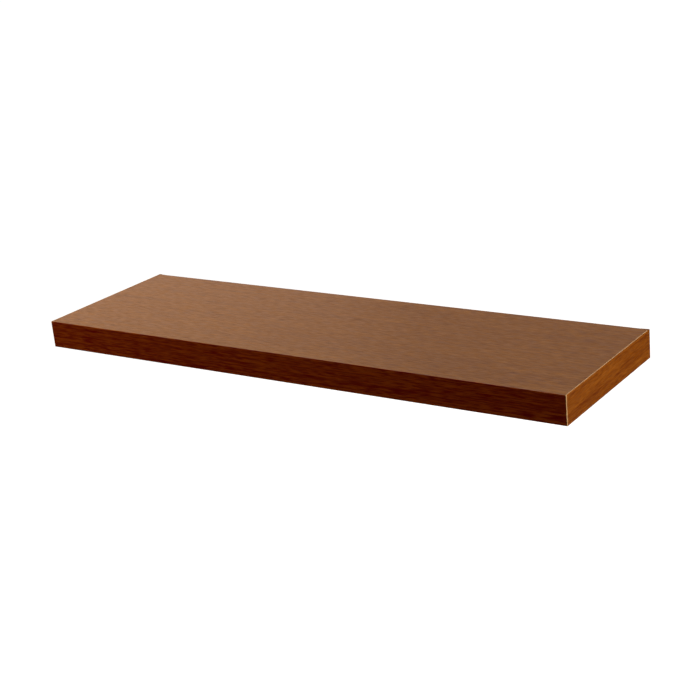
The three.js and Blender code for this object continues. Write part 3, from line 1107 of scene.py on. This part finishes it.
@dataclass
class RodLocks:
    """The grub screws that lock the board to the outer rods, and their knurled inserts."""

    screw_radius: float = 3.0 * MM
    screw_ease: float = 0.5 * MM
    tip_chamfer: float = 1.0 * MM
    cup_depth: float = 0.9 * MM
    cup_rim: float = 0.2 * MM
    socket_across: float = 3.0 * MM
    socket_sides: int = 6
    socket_depth: float = 4.0 * MM
    socket_mouth: float = 0.3 * MM
    socket_mouth_depth: float = 0.15 * MM
    socket_point: float = 0.2 * MM
    thread_pitch: float = 1.0 * MM
    thread_depth: float = 0.55 * MM
    thread_gap: float = 0.1 * MM
    ridge_foot: float = 0.43 * MM
    ridge_top: float = 0.07 * MM
    thread_sides: int = 36
    insert_wall: float = 2.0 * MM
    insert_ease: float = 0.3 * MM
    knurl_height: float = 0.35 * MM
    knurl_teeth: int = 40

    def build(self) -> None:
        """Models one screw and one insert, and copies each to the other lock."""
        screw, insert = self.screw(), self.insert()
        screw.spread("screw_threaded", "lock_screw", SIDES, "{}_lock", "dark_steel", [BlackOxide().make()])
        insert.spread("insert_knurled", "lock_insert", SIDES, "shelf_board", "brass", [TurnedBrass().make()])

    def screw(self) -> Workpiece:
        """Models the screw: a wound thread on a core, with an eased foot, a cupped point and a hex socket."""
        low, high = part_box("lock_screw_right")
        length, radius, ease = high.z - low.z, self.screw_radius, self.screw_ease
        root = radius - self.thread_depth
        turns = math.ceil(length / self.thread_pitch) + 1
        core = Workpiece.turned("screw_threaded_right", [(root, 0.0), (root, length)], self.thread_sides)
        core.join(Join.ADD_ON, self.thread("screw_thread", root - NEAR, radius, turns))
        point = radius - self.tip_chamfer
        outline = [(radius - ease, 0.0), (radius, ease), (radius, length - self.tip_chamfer), (point, length)]
        core.join(Join.KEEP_INSIDE, Workpiece.turned("screw_outline", outline, self.thread_sides))
        cup = [(NEAR, length - self.cup_depth), (point - self.cup_rim, length),
               (point - self.cup_rim, length + OVERRUN)]
        core.join(Join.CUT_OUT, Workpiece.turned("cup_cutter", cup, self.thread_sides))
        key = self.socket_across / 2 / math.cos(math.pi / self.socket_sides)
        hollow = [(key + self.socket_mouth, -self.socket_mouth), (key, self.socket_mouth_depth),
                  (key, self.socket_depth), (self.socket_point, self.socket_depth + key / 2)]
        core.join(Join.CUT_OUT, Workpiece.turned("socket_cutter", hollow, self.socket_sides))
        return core.lay(move=(0, middle_of("lock_screw_right").y, low.z))

    def insert(self) -> Workpiece:
        """Models the insert: a ring with straight knurling outside and a wound thread inside."""
        low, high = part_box("lock_insert_right")
        length, ease = high.z - low.z, self.insert_ease
        bore = self.screw_radius + self.thread_gap
        outer = bore + self.insert_wall
        profile = [(bore + ease, 0.0), (outer - ease, 0.0), (outer, ease), (outer, length - ease),
                   (outer - ease, length), (bore, length), (bore, ease), (bore + ease, 0.0)]
        ring = Workpiece.turned("insert_knurled_right", profile, self.knurl_teeth * 2, closed=True)
        step = FULL_TURN / (self.knurl_teeth * 2)
        with ring.editing():
            ring.pick(Grip.FACES, lambda at, way: math.hypot(at.x, at.y) > outer - NEAR * 2
                      and abs(way.z) < SQUARE and int((math.atan2(at.y, at.x) + HALF_TURN) / step) % 2 == 0)
            bpy.ops.mesh.extrude_region_shrink_fatten(TRANSFORM_OT_shrink_fatten={
                "value": self.knurl_height})
        crest, turns = bore + self.thread_depth, math.ceil(length / self.thread_pitch) + 2
        ring.join(Join.CUT_OUT, self.thread("insert_thread_cutter", bore - NEAR * 2, crest, turns))
        return ring.lay(move=(0, middle_of("lock_insert_right").y, low.z))

    def thread(self, name: str, root: float, crest: float, turns: int) -> Workpiece:
        """Winds a thread's ridge round the Z axis, one turn below the origin at its start.

        Args:
            name: The ridge's name.
            root: The radius of its foot.
            crest: The radius of its top.
            turns: How many turns it has.

        Returns:
            The closed ridge.
        """
        half_plane = 0.5
        ridge = Workpiece.add(name, bpy.ops.mesh.primitive_plane_add, size=1.0, rotation=(QUARTER_TURN, 0, 0))
        with ridge.editing():
            bpy.ops.mesh.delete(type="ONLY_FACE")
            for side, radius, half in ((-1, root, self.ridge_foot), (1, crest, self.ridge_top)):
                for end in (-1, 1):
                    ridge.pick(Grip.CORNERS, lambda at, way: min(at.x * side, at.z * end) > half_plane - NEAR)
                    bpy.ops.transform.translate(value=(radius - side * half_plane, 0,
                                                       end * (half - half_plane) - self.thread_pitch))
        ridge.modify("SCREW", axis="Z", angle=FULL_TURN, screw_offset=self.thread_pitch, iterations=turns,
                     steps=self.thread_sides, render_steps=self.thread_sides, use_merge_vertices=False)
        with ridge.editing():
            bpy.ops.mesh.fill_holes(sides=4)
            ridge.face_outwards()
        return ridge


# The studio


@dataclass(frozen=True)
class Softbox:
    """A rectangular soft light: where it stands, what it is turned to, its size, watts and colour.

    One that isn't mirrored doesn't show in glossy surfaces.
    """

    name: str
    at: Point
    target: Point
    size: Pair
    power: float
    colour: Colour = WHITE
    mirrored: bool = True

    def set_up(self) -> None:
        """Adds the light to the scene."""
        data = bpy.data.lights.new(self.name, "AREA")
        data.shape = "RECTANGLE"
        data.size, data.size_y = self.size
        data.energy = self.power
        data.color = self.colour
        light = bpy.data.objects.new(self.name, data)
        light.location = self.at
        light.rotation_euler = (Vector(self.target) - Vector(self.at)).to_track_quat("-Z", "Y").to_euler()
        light.visible_camera = False
        light.visible_glossy = self.mirrored
        bpy.context.scene.collection.objects.link(light)


SHELF_MIDDLE = (0.0, -0.12, 0.0)
SOFTBOXES = (
    Softbox("key_right", (2.6, -0.25, 0.45), (0.4, -0.12, 0.0), (1.4, 1.4), 54.0, mirrored=False),
    Softbox("overhead", (0.1, 0.3, 2.3), SHELF_MIDDLE, (2.4, 1.6), 39.5),
    Softbox("fill_left", (-1.5, -1.0, 0.75), (-0.2, -0.12, 0.0), (0.8, 0.8), 20.5, mirrored=False),
    Softbox("fill_front", (0.3, -2.6, 1.5), SHELF_MIDDLE, (1.6, 1.2), 2.1, mirrored=False),
    Softbox("back_sheen", (-1.5, 2.8, 1.15), (-0.1, -0.12, 0.0), (4.6, 1.9), 8.2, (1.0, 0.735, 0.75)),
    Softbox("left_window", (-2.7, 2.6, 0.75), (0.0, 2.6, 0.75), (2.8, 0.7), 9.0, (1.0, 0.59, 0.35)),
    Softbox("back_low", (-1.0, 2.2, -0.5), SHELF_MIDDLE, (3.0, 0.9), 26.0),
    Softbox("under_glow", (0.0, 0.35, -1.2), (0.0, 0.35, 0.0), (3.0, 1.2), 12.0),
)


@dataclass
class Studio:
    """The camera at the photograph's angle, soft lights and a pale room with its floor under the shelf."""

    azimuth: float = 35.3510
    elevation: float = 19.3228
    roll: float = -5.4081
    eye: Point = (1.085646, -1.610671, 0.628234)
    lens: float = 75.3198
    sensor: float = 36.0
    room_size: float = 24.0
    floor_drop: float = 1.3
    floor_colour: Colour = (0.6, 0.6, 0.6)
    floor_roughness: float = 0.9
    floor_glow: float = 1.02
    room_colour: Colour = (1.0, 0.6, 0.5)
    room_light: float = 0.012

    def build(self) -> None:
        """Sets up the camera, the floor and the lights."""
        self.camera()
        self.floor()
        self.surroundings()
        for softbox in SOFTBOXES:
            softbox.set_up()
        bpy.context.scene.view_settings.view_transform = "Standard"

    def camera(self) -> None:
        """Sets the camera where the photograph was taken from, with its slight roll."""
        side, rise, tilt = (math.radians(value) for value in (self.azimuth, self.elevation, self.roll))
        facing = Euler((QUARTER_TURN - rise, 0, side)).to_matrix().to_4x4() @ Matrix.Rotation(tilt, 4, "Z")
        data = bpy.data.cameras.new("camera")
        data.sensor_fit = "HORIZONTAL"
        data.sensor_width = self.sensor
        data.lens = self.lens
        camera = bpy.data.objects.new("camera", data)
        camera.matrix_world = Matrix.Translation(self.eye) @ facing
        bpy.context.scene.collection.objects.link(camera)
        bpy.context.scene.camera = camera

    def floor(self) -> None:
        """Lays a plain pale floor with walls far off. They add no light of their own to the shelf."""
        level = (0, 0, self.room_size / 2 - self.floor_drop)
        room = Workpiece.add("floor", bpy.ops.mesh.primitive_cube_add, size=self.room_size, location=level)
        room.obj.data.materials.append(Recipe("pale_floor").finish({
            "Base Color": self.floor_colour, "Roughness": self.floor_roughness,
            "Emission Color": WHITE, "Emission Strength": self.floor_glow}))
        room.obj.visible_diffuse = False
        room.obj.visible_glossy = False
        room.obj.visible_shadow = False

    def surroundings(self) -> None:
        """Fills the room with a faint even light."""
        world = bpy.data.worlds.new("room")
        world.use_nodes = True
        background = world.node_tree.nodes["Background"]
        background.inputs["Color"].default_value = (*self.room_colour, 1.0)
        background.inputs["Strength"].default_value = self.room_light
        bpy.context.scene.world = world


def main() -> None:
    """Builds the shelf and its studio."""
    logging.basicConfig(level=logging.INFO, format="%(message)s")
    Studio().build()
    WrappedBoard().build()
    dress_inside()
    WallBracket().build()
    RodBushes().build()
    RodLocks().build()


if __name__ == "__main__":
    main()
